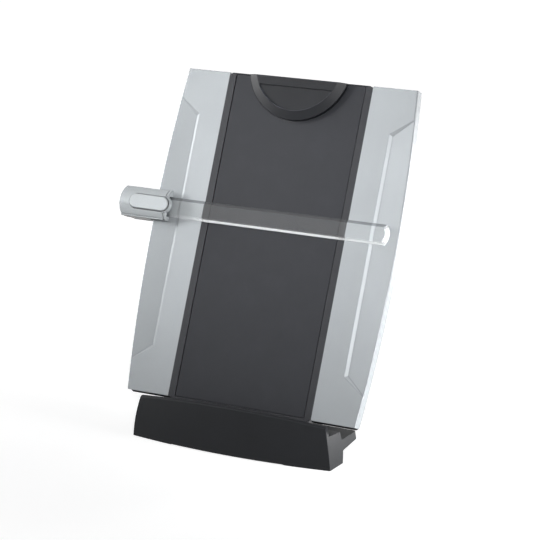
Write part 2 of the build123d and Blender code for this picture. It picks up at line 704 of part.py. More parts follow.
def paper_clip():
    """Half-moon clip with a sloped rim, a thumb recess, and knuckles for its hinge."""
    top = CLIP_TOP_V
    wall = 1.7
    rim_depth = CLIP_EDGE_Z - CLIP_BACK_Z
    body = Pos(0, 0, CLIP_BACK_Z) * extrude(half_moon(CLIP_RADIUS, top), amount=rim_depth)
    body += below_top(cone(CLIP_RADIUS, CLIP_RADIUS - CLIP_SLOPE, CLIP_EDGE_Z, CLIP_HEIGHT), top)
    body = chamfer(body.edges().group_by(Axis.Z)[-1].sort_by(Axis.Y)[-1], 0.8)
    pad_seat = faceted_moon(CLIP_RADIUS - wall, top - wall)
    hollow = Pos(0, 0, -1) * extrude(pad_seat, amount=1 + PAD_TOP)
    deep = faceted_moon(CLIP_RADIUS - PAD_REACH, top - wall)
    hollow += Pos(0, 0, -1) * extrude(deep, amount=1 + CLIP_EDGE_Z - wall)
    hollow += block((-22, 22), (CLIP_HINGE_V - 2.8, top + 5), (-1, CLIP_HEIGHT - 1.5))
    body -= hollow
    body -= thumb_recess()
    for side in (-1, 1):
        knuckle = cross_rod(CLIP_KNUCKLE, 2.6, (CLIP_HINGE_V, CLIP_HINGE_Z))
        knuckle += block(
            (-2.6, 2.6), (CLIP_HINGE_V - 1.6, CLIP_HINGE_V + 1.6), (CLIP_HINGE_Z, CLIP_HEIGHT - 1)
        )
        body += Pos(side * 16.8, 0, 0) * knuckle
    body -= cross_rod(CLIP_PIN + RUNNING, 30, (CLIP_HINGE_V, CLIP_HINGE_Z))
    # the top edge turns down towards the panel as the clip opens
    body -= block((-60, 60), (top - 3.2, top + 5), (-2, CLIP_TURN_Z))
    return body


def thumb_recess():
    """D-shaped hollow for the thumb, deepest along its curved lower side."""
    outline = half_moon(CLIP_RADIUS - CLIP_SLOPE - 0.3, 295.6)
    hollow = Pos(0, 0, CLIP_HEIGHT + 2) * extrude(outline, amount=-10)
    floor = Polyline((270, 5.2), (298, 7.0), (298, -20), (270, -20), close=True)
    floor = Pos(-60, 0, 0) * extrude(Plane.YZ * make_face(floor), amount=120)
    return hollow - floor


def clip_pin():
    return PANEL * cross_rod(CLIP_PIN, 19.6, (CLIP_HINGE_V, CLIP_HINGE_Z))


def wound_wire(radius, turns, length, wire):
    """Coil of faceted wire along Z, wound round the origin with straight pieces."""
    steps = 9
    points = []
    for i in range(turns * steps + 1):
        angle = 2 * pi * i / steps
        points.append((radius * cos(angle), radius * sin(angle), length * i / (turns * steps)))
    path = Polyline(*points)
    start = Plane(origin=points[0], z_dir=path % 0)
    return sweep(start * RegularPolygon(wire, 6), path, transition=Transition.RIGHT)


def clip_spring():
    """Torsion spring round the clip's pin, between the two lugs."""
    length = 11.0
    coil = wound_wire(2.0, 6, length, 0.45)
    return Pos(0, CLIP_HINGE_V, CLIP_HINGE_Z) * Rot(0, 90, 0) * Pos(0, 0, -length / 2) * coil


def clip_pad():
    """Rubber strip behind the clip's rim, cut from flat sheet in short straight runs."""
    sweep, runs = radians(62.0), 14
    outer = faceted_arc(CLIP_RADIUS - 2.1, sweep, runs)
    inner = faceted_arc(CLIP_RADIUS - PAD_REACH + 0.4, sweep, runs)
    strip = make_face(Polyline(*outer, *reversed(inner), close=True))
    return Pos(0, 0, 0.15) * extrude(strip, amount=PAD_TOP - 0.15)


# ------------------------------------------------------------------ the line guide
def guide_bar():
    """Clear bar with bevelled front edges and a bowed right end."""
    low, high = GUIDE_V - BAR_HEIGHT / 2, GUIDE_V + BAR_HEIGHT / 2

    def face(inset):
        end = BAR_RIGHT - BAR_END_BOW - inset
        edge = ThreePointArc((end, low + inset), (end + BAR_END_BOW, GUIDE_V), (end, high - inset))
        rest = Polyline(
            (end, high - inset), (BAR_LEFT, high - inset), (BAR_LEFT, low + inset), (end, low + inset)
        )
        return make_face(Curve() + [edge, rest])

    front_start = BAR_FRONT_Z - 0.8 * BAR_BEVEL
    body = Pos(0, 0, BAR_BACK_Z) * extrude(face(0), amount=front_start - BAR_BACK_Z)
    body += loft([Pos(0, 0, front_start) * face(0), Pos(0, 0, BAR_FRONT_Z) * face(BAR_BEVEL)])
    for v in BAR_SCREWS:
        body -= Pos(BAR_SCREW_U, v, 0) * prism(1.65, 0, 20)
    return body


BAR_SCREW_U = -117.0
BAR_SCREWS = [GUIDE_V - 5.0, GUIDE_V + 5.0]
BAR_SCREW_SHANK = 0.85
RAIL_SCREWS = [RAIL_LOW + 5, 120.0, RAIL_HIGH - 5]
RAIL_SCREW_SHANK = 1.05


def housing_region(left, right, inset=0.0):
    """Plan of the slider: straight top, bottom and right, gently bowed left end."""
    low, high = HOUSING_V - HOUSING_HALF + inset, HOUSING_V + HOUSING_HALF - inset
    bow = 1.6
    edge = ThreePointArc((left + bow, high), (left, HOUSING_V), (left + bow, low))
    rest = Polyline((left + bow, low), (right, low), (right, high), (left + bow, high))
    return make_face(Curve() + [edge, rest])


def housing_dome(extra=0.0):
    """Barrel-shaped space under the slider's front, running across the panel."""
    low, high = HOUSING_V - HOUSING_HALF, HOUSING_V + HOUSING_HALF
    edge, ridge = HOUSING_EDGE_Z + extra, HOUSING_RIDGE_Z + extra
    arc = ThreePointArc((low, edge), (HOUSING_V, ridge), (high, edge))
    rest = Polyline((high, edge), (high, -30), (low, -30), (low, edge))
    profile = Plane.YZ * make_face(Curve() + [arc, rest])
    return Pos(-170, 0, 0) * extrude(profile, amount=80)


def button_region(clearance):
    """Long round-ended outline of the button."""
    length = BUTTON_RIGHT - BUTTON_LEFT + 2 * clearance
    height = BUTTON_HEIGHT + 2 * clearance
    return Pos((BUTTON_LEFT + BUTTON_RIGHT) / 2, HOUSING_V) * SlotOverall(length, height)


STEM_U = -139.0
STEM_HALF = 2.5
SPRING_SHELF = 1.6


SLIDER_SCREWS = [(u, HOUSING_V + side * 9.5) for u in (-151.0, -131.5) for side in (-1, 1)]
SLIDER_SCREW_SHANK = 0.95


def housing_bead():
    """Half-round bead across the slider's right end."""
    strip = extrude(housing_region(HOUSING_RIGHT - BEAD_WIDTH, HOUSING_RIGHT), amount=30, both=True)
    strip &= block((HOUSING_RIGHT - BEAD_WIDTH, HOUSING_RIGHT), (0, 400), (-40, 40))
    bead = strip & housing_dome(BEAD_RISE)
    arcs = [edge for edge in bead.edges() if edge.geom_type == GeomType.CIRCLE]
    return chamfer(arcs, 0.6 * BEAD_RISE)


def bead_groove():
    """Narrow groove that sets the bead off from the rest of the slider's front."""
    right = HOUSING_RIGHT - BEAD_WIDTH
    strip = block((right - GROOVE_WIDTH, right), (0, 400), (OVER_PANEL_Z, 40))
    return strip - housing_dome(-GROOVE_DEPTH)


def lower_lip():
    """Small raised lip along the slider's lower front edge."""
    low, edge = HOUSING_V - HOUSING_HALF, HOUSING_EDGE_Z
    profile = Polyline(
        (low, edge - 1.0),
        (low, edge + 1.3),
        (low + 0.35, edge + 1.8),
        (low + 0.85, edge + 1.8),
        (low + 1.5, edge + 1.4),
        (low + 1.5, edge - 1.0),
        close=True,
    )
    strip = Pos(-170, 0, 0) * extrude(Plane.YZ * make_face(profile), amount=80)
    return strip & extrude(housing_region(HOUSING_LEFT, HOUSING_RIGHT - BEAD_WIDTH), amount=30)


def button_collar():
    """Raised rim that carries the well round the button's right end."""
    low, high = BAR_FRONT_Z + 0.1, HOUSING_RIDGE_Z + 0.2
    rim = Pos(0, 0, low) * extrude(button_region(WELL_GAP + COLLAR_WALL), amount=high - low)
    rim = chamfer(rim.edges().group_by(Axis.Z)[-1], 0.5)
    return rim & block((HOUSING_RIGHT - BEAD_WIDTH, 0), (0, 400), (0, 40))


def slider_housing():
    """Front shell of the slider, with a bead at its right end and a well for the button."""
    dome = housing_dome()
    solid = extrude(housing_region(HOUSING_LEFT, HOUSING_RIGHT), amount=30, both=True)
    body = (solid & dome) + lower_lip() - bead_groove() + housing_bead() + button_collar()
    body -= block((-200, 0), (0, 400), (-40, HOUSING_BACK_Z))
    # room for the panel's edge and front
    body -= block((EDGE_CLEAR, 0), (0, 400), (-40, OVER_PANEL_Z))
    wall = HOUSING_WALL
    inner = housing_region(HOUSING_LEFT + wall, EDGE_CLEAR - wall, wall)
    inner = extrude(inner, amount=30, both=True) & Pos(0, 0, -wall) * housing_dome()
    body -= inner
    over_panel = block(
        (EDGE_CLEAR + 0.4, HOUSING_RIGHT + 4),
        (GUIDE_V - BAR_HEIGHT / 2 - 0.1, GUIDE_V + BAR_HEIGHT / 2 + 0.1),
        (-1, BAR_FRONT_Z + 0.1),
    )
    body -= over_panel
    well = Pos(0, 0, WELL_FLOOR) * extrude(button_region(WELL_GAP), amount=20)
    body -= well
    # cross shelf that the button's spring stands on, with a square hole for the stem
    shelf = Pos(STEM_U, HOUSING_V) * Rectangle(13, 2 * HOUSING_HALF - 2)
    body += extrude(shelf, amount=SPRING_SHELF) & (Pos(0, 0, -0.5) * dome)
    body -= Pos(STEM_U, HOUSING_V, 0) * Box(2 * STEM_HALF + 0.6, 2 * STEM_HALF + 0.6, 60)
    for v in BAR_SCREWS:
        boss = prism(1.5, OVER_PANEL_Z + 0.4, BAR_FRONT_Z + 0.8)
        body += Pos(BAR_SCREW_U, v, 0) * boss
        body -= Pos(BAR_SCREW_U, v, 0) * pilot_hole(BAR_SCREW_SHANK, 0, BAR_FRONT_Z)
    for u, v in SLIDER_SCREWS:
        post = prism(2.6, HOUSING_BACK_Z, 8.0) - pilot_hole(SLIDER_SCREW_SHANK, HOUSING_BACK_Z, 4.0)
        body += (Pos(u, v, 0) * post) & dome
    return body


CLAMP_BACK_Z, CLAMP_FRONT_Z = 4.5, 6.4
CLAMP_RIGHT = -108.5


def bar_clamp():
    """Thin plate that holds the guide bar up against the slider."""
    plate = block(
        (EDGE_CLEAR + 0.6, CLAMP_RIGHT),
        (GUIDE_V - BAR_HEIGHT / 2, GUIDE_V + BAR_HEIGHT / 2),
        (CLAMP_BACK_Z, CLAMP_FRONT_Z),
    )
    for v in BAR_SCREWS:
        place = Pos(BAR_SCREW_U, v, CLAMP_BACK_Z + 1.1)
        plate -= place * screw_hole(1.9, 1.2, BAR_SCREW_SHANK + 0.1, 10)
    return plate


def bar_screws():
    one = screw(1.9, 1.0, BAR_SCREW_SHANK, 5.0)
    return group(Pos(BAR_SCREW_U, v, CLAMP_BACK_Z + 1.1) * one for v in BAR_SCREWS)


RAIL_FLANGE_FRONT = -PANEL_DEPTH - 2.4
RAIL_FLANGE_BACK = RAIL_FLANGE_FRONT - 1.8
RAIL_GAP = 0.35
SHOE_HALF = 4.0
SHOE_FRONT, SHOE_BACK = -10.1, -13.6
SLIDER_SCREW_Z = SLIDER_BACK_Z + 1.4


def rail_channel():
    """T-shaped way that the rail runs in."""
    across = (RAIL_U - RAIL_HALF - RAIL_GAP, RAIL_U + RAIL_HALF + RAIL_GAP)
    neck = (RAIL_U - RAIL_STEM - RAIL_GAP, RAIL_U + RAIL_STEM + RAIL_GAP)
    depth = (RAIL_FLANGE_BACK - RAIL_GAP, RAIL_FLANGE_FRONT + RAIL_GAP)
    return block(across, (0, 400), depth) + block(neck, (0, 400), (RAIL_FLANGE_BACK, 5))


def slider_back():
    """Rear shell of the slider: a box beside the panel and a channel that grips the rail."""
    inset = 0.6
    wall = inset + HOUSING_WALL
    region = housing_region(HOUSING_LEFT + inset, EDGE_CLEAR, inset)
    body = Pos(0, 0, SLIDER_BACK_Z) * extrude(region, amount=HOUSING_BACK_Z - SLIDER_BACK_Z)
    inner = housing_region(HOUSING_LEFT + wall, EDGE_CLEAR - HOUSING_WALL, wall)
    body -= Pos(0, 0, SLIDER_BACK_Z + 2.2) * extrude(inner, amount=40)
    low, high = HOUSING_V - HOUSING_HALF + inset, HOUSING_V + HOUSING_HALF - inset
    rail_right = RAIL_U + RAIL_HALF
    tongue = block(
        (EDGE_CLEAR - 1, rail_right + 2.8), (low, high), (SLIDER_BACK_Z, -PANEL_DEPTH - 0.5)
    )
    body += tongue - rail_channel()
    body -= block(
        (STEM_U - 12, RAIL_U - RAIL_HALF),
        (HOUSING_V - SHOE_HALF - 0.3, HOUSING_V + SHOE_HALF + 0.3),
        (SHOE_BACK - 0.3, SHOE_FRONT + 0.3),
    )
    for u, v in SLIDER_SCREWS:
        body += Pos(u, v, 0) * prism(2.6, SLIDER_BACK_Z + 1, HOUSING_BACK_Z)
        body -= Pos(u, v, SLIDER_SCREW_Z) * screw_hole(2.2, 1.3, SLIDER_SCREW_SHANK + 0.1, 40)
    return body


def slider_screws():
    one = screw(2.2, 1.1, SLIDER_SCREW_SHANK, 16.0)
    return group(Pos(u, v, SLIDER_SCREW_Z) * one for u, v in SLIDER_SCREWS)


def guide_rail():
    """T-shaped rail behind the left wing."""
    along = (RAIL_LOW, RAIL_HIGH)
    stem = (RAIL_U - RAIL_STEM, RAIL_U + RAIL_STEM)
    flange = (RAIL_U - RAIL_HALF, RAIL_U + RAIL_HALF)
    body = block(stem, along, (RAIL_FLANGE_FRONT, -PANEL_DEPTH))
    body += block(flange, along, (RAIL_FLANGE_BACK, RAIL_FLANGE_FRONT))
    for v in RAIL_SCREWS:
        place = Pos(RAIL_U, v, RAIL_FLANGE_BACK + 1.2)
        body -= place * screw_hole(1.7, 1.2, RAIL_SCREW_SHANK, 10)
    return body


def rail_screws():
    one = screw(1.7, 1.0, RAIL_SCREW_SHANK, 4.6)
    return group(Pos(RAIL_U, v, RAIL_FLANGE_BACK + 1.2) * one for v in RAIL_SCREWS)


WEDGE_SLOPE = BRAKE_TRAVEL / BUTTON_TRAVEL


def release_button():
    """Raised button with a stem whose wedge pulls the brake shoe off the rail."""
    pad_bottom = WELL_FLOOR + BUTTON_TRAVEL + 0.3
    pad = Pos(0, 0, pad_bottom) * extrude(button_region(0), amount=BUTTON_TOP_Z - pad_bottom)
    pad = chamfer(pad.edges().group_by(Axis.Z)[-1], 0.6)
    stem = block(
        (STEM_U - STEM_HALF, STEM_U + STEM_HALF),
        (HOUSING_V - STEM_HALF, HOUSING_V + STEM_HALF),
        (SHOE_FRONT + BUTTON_TRAVEL + 0.5, pad_bottom + 0.5),
    )
    return pad + stem + wedge_tip()


def wedge_tip():
    """Narrow tip of the stem, slanted on the side that meets the shoe."""
    top, bottom = SHOE_FRONT + 0.8, SHOE_BACK + BUTTON_TRAVEL
    lean = WEDGE_SLOPE * (top - bottom)
    side = Polyline(
        (STEM_U - STEM_HALF, top),
        (STEM_U - STEM_HALF, SHOE_FRONT + BUTTON_TRAVEL + 1.0),
        (STEM_U + STEM_HALF, SHOE_FRONT + BUTTON_TRAVEL + 1.0),
        (STEM_U + STEM_HALF, bottom),
        (STEM_U - STEM_HALF + lean, bottom),
        close=True,
    )
    tip = extrude(Plane.XZ * make_face(side), amount=-2 * 1.6)
    return Pos(0, HOUSING_V - 1.6, 0) * tip


def button_spring():
    """Coil spring round the stem, between the housing's shelf and the button."""
    wire = 0.4
    room = wire + 0.15
    low, high = SPRING_SHELF + room, WELL_FLOOR + BUTTON_TRAVEL + 0.3 - room
    return Pos(STEM_U, HOUSING_V, low) * wound_wire(4.6, 6, high - low, wire)


def brake_shoe():
    """Sliding shoe that bears on the rail's side, with a slanted window for the stem."""
    face = RAIL_U - RAIL_HALF - 0.1
    body = block(
        (STEM_U - 8.0, face), (HOUSING_V - SHOE_HALF, HOUSING_V + SHOE_HALF), (SHOE_BACK, SHOE_FRONT)
    )
    gap = 0.15
    height = SHOE_FRONT - SHOE_BACK
    lean = WEDGE_SLOPE * (SHOE_FRONT + 0.8 - SHOE_BACK)
    left_top = STEM_U - STEM_HALF - gap + WEDGE_SLOPE * 0.8
    window = Polyline(
        (left_top, SHOE_FRONT + 0.01),
        (STEM_U + STEM_HALF + BRAKE_TRAVEL + 1.0, SHOE_FRONT + 0.01),
        (STEM_U + STEM_HALF + BRAKE_TRAVEL + 1.0, SHOE_BACK - 0.01),
        (left_top + WEDGE_SLOPE * height, SHOE_BACK - 0.01),
        close=True,
    )
    window = extrude(Plane.XZ * make_face(window), amount=-2 * 2.0)
    return body - Pos(0, HOUSING_V - 2.0, 0) * window


# ------------------------------------------------------------------ all pieces, each in its place
def build_nodes():
    right_wing = wing_right()
    return {
        "base_body": base_body(),
        "base_plate": base_plate(),
        "base_plate_screws": base_plate_screws(),
        "rubber_feet": rubber_feet(),
        "pivot_bracket_left": pivot_bracket(-1),
        "pivot_bracket_right": pivot_bracket(1),
        "bracket_screws": bracket_screws(),
        "pivot_pin_left": pivot_pin(-1),
        "pivot_pin_right": pivot_pin(1),
        "pivot_washers": pivot_washers(),
        "wing_right": PANEL * right_wing,
        "wing_left": PANEL * mirror(right_wing, Plane.YZ),
        "centre_frame": PANEL * centre_frame(),
        "memo_board": PANEL * memo_board(),
        "rear_cover": PANEL * rear_cover(),
        "rear_cover_screws": PANEL * rear_cover_screws(),
        "guide_rail": PANEL * guide_rail(),
        "rail_screws": PANEL * rail_screws(),
        "rear_leg": easel_leg(),
        "leg_foot_pad": leg_foot_pad(),
        "leg_pin": leg_pin(),
        "leg_washers": leg_washers(),
        "paper_clip": PANEL * paper_clip(),
        "clip_pin": clip_pin(),
        "clip_spring": PANEL * clip_spring(),
        "clip_pad": PANEL * clip_pad(),
        "guide_bar": PANEL * guide_bar(),
        "slider_housing": PANEL * slider_housing(),
        "slider_back": PANEL * slider_back(),
        "slider_screws": PANEL * slider_screws(),
        "bar_clamp": PANEL * bar_clamp(),
        "bar_screws": PANEL * bar_screws(),
        "release_button": PANEL * release_button(),
        "button_spring": PANEL * button_spring(),
        "brake_shoe": PANEL * brake_shoe(),
    }


def main():
    nodes = build_nodes()
    boxes = [solid.bounding_box() for solid in nodes.values()]
    left, right = min(box.min.X for box in boxes), max(box.max.X for box in boxes)
    front, back = min(box.min.Y for box in boxes), max(box.max.Y for box in boxes)
    # the origin is the middle of the whole object's footprint, on the desk
    shift = Pos(-(left + right) / 2, -(front + back) / 2, -min(box.min.Z for box in boxes))
    for name, solid in nodes.items():
        export_step(shift * solid, f"parts/{name}.step")
    print("shift", shift.position)


main()
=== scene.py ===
import math

import bmesh
import bpy
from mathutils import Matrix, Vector


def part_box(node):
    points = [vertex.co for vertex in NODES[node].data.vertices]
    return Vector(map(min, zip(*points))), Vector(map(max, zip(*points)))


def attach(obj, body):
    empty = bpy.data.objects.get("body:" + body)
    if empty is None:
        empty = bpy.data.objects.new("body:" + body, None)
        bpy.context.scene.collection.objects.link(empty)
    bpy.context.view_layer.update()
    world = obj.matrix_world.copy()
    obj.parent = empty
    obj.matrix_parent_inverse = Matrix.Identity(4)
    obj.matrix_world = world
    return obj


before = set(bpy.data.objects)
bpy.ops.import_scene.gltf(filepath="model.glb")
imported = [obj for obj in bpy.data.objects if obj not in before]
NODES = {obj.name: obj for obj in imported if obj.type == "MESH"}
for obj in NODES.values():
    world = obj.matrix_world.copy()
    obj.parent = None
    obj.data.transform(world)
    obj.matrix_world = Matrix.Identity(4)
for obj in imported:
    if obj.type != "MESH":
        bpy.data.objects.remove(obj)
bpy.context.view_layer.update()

# Lengths are in metres, except inside materials, on the guide bar and on the ribs, where they are
# in millimetres.
MM = 0.001

# ---------------------------------------------------------------- the leaning panel
LEAN = math.radians(22.7)
UP_PANEL = Vector((0.0, math.sin(LEAN), math.cos(LEAN)))
OUT_PANEL = Vector((0.0, -math.cos(LEAN), math.sin(LEAN)))
RIGHTWARD = Vector((1.0, 0.0, 0.0))
PANEL_FOOT = Vector((0.0, 15.8, 38.2)) * MM     # middle of the panel's lower edge

# ---------------------------------------------------------------- view of the object
# The view is given from the middle of the foot's front edge at the desk.
VIEW_AZIMUTH = math.radians(28.9)
VIEW_ELEVATION = math.radians(14.9)
VIEW_DISTANCE = 2.0735
VIEW_TARGET = Vector((0.0415, 0.0, 0.1758))
FOCAL_PIXELS = 2377.0
FRAME_PIXELS = 540.0
SENSOR_WIDTH = 36.0                 # in millimetres, as Blender takes it
NEAREST_SEEN = 0.05
FOOT_BOW = 0.009                    # how far the foot's front bows out past its ends

foot_low, foot_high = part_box("base_body")
FOOT_ORIGIN = Vector(((foot_low.x + foot_high.x) / 2, foot_low.y + FOOT_BOW, 0.0))


def aim(obj, target):
    """Turns a lamp or camera so that it looks at a point."""
    obj.rotation_euler = (Vector(target) - obj.location).to_track_quat("-Z", "Y").to_euler()


def add_camera():
    data = bpy.data.cameras.new("camera")
    data.sensor_width = SENSOR_WIDTH
    data.lens = FOCAL_PIXELS / FRAME_PIXELS * SENSOR_WIDTH
    data.clip_start = NEAREST_SEEN
    camera = bpy.data.objects.new("camera", data)
    bpy.context.scene.collection.objects.link(camera)
    target = VIEW_TARGET + FOOT_ORIGIN
    direction = Vector((
        math.sin(VIEW_AZIMUTH) * math.cos(VIEW_ELEVATION),
        -math.cos(VIEW_AZIMUTH) * math.cos(VIEW_ELEVATION),
        math.sin(VIEW_ELEVATION),
    ))
    camera.location = target + direction * VIEW_DISTANCE
    aim(camera, target)
    bpy.context.scene.camera = camera


# ---------------------------------------------------------------- node helpers
RISING = (0.0, 1.0)
FALLING = (1.0, 0.0)
NOISE_BAND = (0.3, 0.7)             # where most of a noise's values lie
EDGE_SAMPLES = 4
CORNER_SAMPLES = 6
# Agreement of the rounded normal with the face's own, on an edge and on a plain face.
SHARP_EDGE = (0.84, 0.99)
BLUNT_EDGE = (0.97, 0.999)
# Lean of the rounded normal in the wanted direction, where an edge starts to count and where it
# counts in full.
SHARP_LEAN = (0.05, 0.3)
BLUNT_LEAN = (0.05, 0.1)
OPEN_SKY = (0.6, 0.97)              # share of the surroundings seen in a corner and in the open


def arithmetic(tree, operation, first, second, clamp=False):
    """Joins two number sockets with one operation."""
    node = tree.nodes.new("ShaderNodeMath")
    node.operation = operation
    node.use_clamp = clamp
    tree.links.new(first, node.inputs[0])
    tree.links.new(second, node.inputs[1])
    return node.outputs["Value"]


class Shader:
    """A material with one Principled shader, built up node by node in real millimetres."""

    def __init__(self, name, **constants):
        self.material = bpy.data.materials.new(name)
        self.material.use_nodes = True
        self.tree = self.material.node_tree
        self.principled = self.tree.nodes["Principled BSDF"]
        self.bumps = None
        self.coordinates = self.tree.nodes.new("ShaderNodeTexCoord")
        scale = self.tree.nodes.new("ShaderNodeVectorMath")
        scale.operation = "SCALE"
        scale.inputs["Scale"].default_value = 1.0 / MM
        self.tree.links.new(self.coordinates.outputs["Object"], scale.inputs[0])
        self.place = scale.outputs["Vector"]
        for key, value in constants.items():
            self.principled.inputs[key.replace("_", " ")].default_value = value

    def noise(self, size, detail=2.0, roughness=0.5, stretch=None):
        """Noise whose features are about the given size in millimetres."""
        node = self.tree.nodes.new("ShaderNodeTexNoise")
        node.inputs["Scale"].default_value = 1.0 / size
        node.inputs["Detail"].default_value = detail
        node.inputs["Roughness"].default_value = roughness
        self.tree.links.new(self.stretched(stretch), node.inputs["Vector"])
        return node.outputs["Fac"]

    def cells(self, size):
        """Cell pattern, for moulded grain."""
        node = self.tree.nodes.new("ShaderNodeTexVoronoi")
        node.inputs["Scale"].default_value = 1.0 / size
        self.tree.links.new(self.place, node.inputs["Vector"])
        return node.outputs["Distance"]

    def stretched(self, stretch):
        """The place on the object, scaled along each axis to draw a pattern out."""
        if stretch is None:
            return self.place
        node = self.tree.nodes.new("ShaderNodeVectorMath")
        node.operation = "MULTIPLY"
        node.inputs[1].default_value = stretch
        self.tree.links.new(self.place, node.inputs[0])
        return node.outputs["Vector"]

    def remap(self, value, result, source=NOISE_BAND):
        """Maps one band of values evenly onto another and holds it at both ends."""
        node = self.tree.nodes.new("ShaderNodeMapRange")
        node.inputs["From Min"].default_value, node.inputs["From Max"].default_value = source
        node.inputs["To Min"].default_value, node.inputs["To Max"].default_value = result
        self.tree.links.new(value, node.inputs["Value"])
        return node.outputs["Result"]

    def ramp(self, value, stops):
        """Colour for a value, from stops of position and colour."""
        node = self.tree.nodes.new("ShaderNodeValToRGB")
        elements = node.color_ramp.elements
        while len(elements) < len(stops):
            elements.new(0.5)
        for element, (position, colour) in zip(elements, stops):
            element.position = position
            element.color = (*colour, 1.0)
        self.tree.links.new(value, node.inputs["Fac"])
        return node.outputs["Color"]

    def bump(self, height, depth):
        """Adds relief of the given depth in millimetres on top of what is there."""
        node = self.tree.nodes.new("ShaderNodeBump")
        node.inputs["Strength"].default_value = 1.0
        node.inputs["Distance"].default_value = depth * MM
        self.tree.links.new(height, node.inputs["Height"])
        if self.bumps is not None:
            self.tree.links.new(self.bumps, node.inputs["Normal"])
        self.bumps = node.outputs["Normal"]

    def agreement(self, vector, other):
        """Dot product of a vector socket with a direction or with another vector socket."""
        node = self.tree.nodes.new("ShaderNodeVectorMath")
        node.operation = "DOT_PRODUCT"
        self.tree.links.new(vector, node.inputs[0])
        if isinstance(other, Vector):
            node.inputs[1].default_value = other
        else:
            self.tree.links.new(other, node.inputs[1])
        return node.outputs["Value"]

    def facing(self, direction, band):
        """0 to 1 where the surface faces a direction of the object at rest."""
        normal = self.coordinates.outputs["Normal"]
        return self.remap(self.agreement(normal, direction), RISING, band)

    def across(self, span):
        """0 to 1 between two places in millimetres, from left to right."""
        split = self.tree.nodes.new("ShaderNodeSeparateXYZ")
        self.tree.links.new(self.place, split.inputs["Vector"])
        return self.remap(split.outputs["X"], RISING, span)

    def below(self, span):
        """1 below and 0 above two heights in millimetres up the panel."""
        foot = (FOOT_ORIGIN + PANEL_FOOT).dot(UP_PANEL) / MM
        low, high = span
        return self.remap(self.agreement(self.place, UP_PANEL), FALLING, (foot + low, foot + high))

    def soften(self, radius, toward=None, blunt=False):
        """Rounds sharp edges in the shading by a radius in millimetres.

        Returns 1 along the edges and 0 on faces. With a direction, only edges turned toward it
        count. With blunt, shallow edges count in full.
        """
        node = self.tree.nodes.new("ShaderNodeBevel")
        node.samples = EDGE_SAMPLES
        node.inputs["Radius"].default_value = radius * MM
        self.bumps = node.outputs["Normal"]
        geometry = self.tree.nodes.new("ShaderNodeNewGeometry")
        likeness = self.agreement(node.outputs["Normal"], geometry.outputs["Normal"])
        edges = self.remap(likeness, FALLING, BLUNT_EDGE if blunt else SHARP_EDGE)
        if toward is None:
            return edges
        turned = self.agreement(node.outputs["Normal"], toward)
        lean = BLUNT_LEAN if blunt else SHARP_LEAN
        return self.product(edges, self.remap(turned, RISING, lean))

    def corners(self, reach):
        """0 deep in the corner of a step or groove, 1 on open surface."""
        node = self.tree.nodes.new("ShaderNodeAmbientOcclusion")
        node.samples = CORNER_SAMPLES
        node.inputs["Distance"].default_value = reach * MM
        return self.remap(node.outputs["AO"], RISING, OPEN_SKY)

    def mixed(self, factor, first, second, mode="MIX"):
        """Mixes two colours; the factor and either colour may be a constant."""
        node = self.tree.nodes.new("ShaderNodeMix")
        node.data_type = "RGBA"
        node.blend_type = mode
        sockets = [socket for socket in node.inputs if socket.type == "RGBA"]
        for socket, colour in zip(sockets, (first, second)):
            if isinstance(colour, tuple):
                socket.default_value = (*colour, 1.0)
            else:
                self.tree.links.new(colour, socket)
        if isinstance(factor, float):
            node.inputs["Factor"].default_value = factor
        else:
            self.tree.links.new(factor, node.inputs["Factor"])
        return next(socket for socket in node.outputs if socket.type == "RGBA")

    def darkened(self, colour, tint):
        """A colour multiplied by a tint."""
        return self.mixed(1.0, colour, tint, mode="MULTIPLY")

    def product(self, first, second):
        return arithmetic(self.tree, "MULTIPLY", first, second)

    def larger(self, first, second):
        return arithmetic(self.tree, "MAXIMUM", first, second)

    def set(self, socket, value):
        self.tree.links.new(value, self.principled.inputs[socket])

    def done(self):
        self.set("Normal", self.bumps)
        return self.material


def shade(colour, factor):
    """A colour made darker or lighter."""
    return tuple(min(1.0, channel * factor) for channel in colour)


def grey(level):
    return (level, level, level)


# ---------------------------------------------------------------- materials
WHITE = grey(1.0)


def silver_paint(name, colour, roughness):
    """Silver paint on moulded plastic, with fine flake and faint cloudiness.

    Edges turned to the right get a dark line as painted shade, corners and the places between
    parts are darkened as painted shade, and faces turned down the panel are darkened as painted
    shade.
    """
    shader = Shader(name, Metallic=0.2, Specular_IOR_Level=0.35)
    edges = shader.soften(0.5, toward=RIGHTWARD, blunt=True)
    flake = shader.noise(size=0.16, detail=1.0)
    cloud = shader.noise(size=38.0, detail=3.0)
    # Painted shade: edges turned to the right get a dark line, broken by a little noise.
    edge_wear_and_painted_light = shader.product(edges, shader.remap(shader.noise(size=5.0, detail=3.0), (0.8, 1.0)))
    fleck = shader.ramp(
        flake, [(0.32, shade(colour, 0.9)), (0.5, colour), (0.72, shade(colour, 1.1))]
    )
    clouded = shader.ramp(cloud, [(0.35, grey(0.965)), (0.65, WHITE)])
    # Painted shade: darker in corners, creases and between parts, from ambient occlusion.
    dust_and_painted_shade = shader.ramp(shader.corners(reach=2.0), [(0.0, grey(0.4)), (1.0, WHITE)])
    # Painted shade: faces turned down the panel are darkened to a fifth.
    underside_shade = shader.ramp(shader.facing(-UP_PANEL, (0.7, 0.95)), [(0.0, WHITE), (1.0, grey(0.2))])
    painted = fleck
    for tint in (clouded, dust_and_painted_shade, underside_shade):
        painted = shader.darkened(painted, tint)
    shader.set("Base Color", shader.mixed(edge_wear_and_painted_light, painted, shade(colour, 0.3)))
    handled = shader.noise(size=9.0, detail=4.0)
    shader.set("Roughness", shader.remap(handled, (roughness - 0.03, roughness + 0.04)))
    shader.bump(shader.noise(size=0.5), depth=0.012)
    shader.bump(flake, depth=0.004)
    return shader.done()


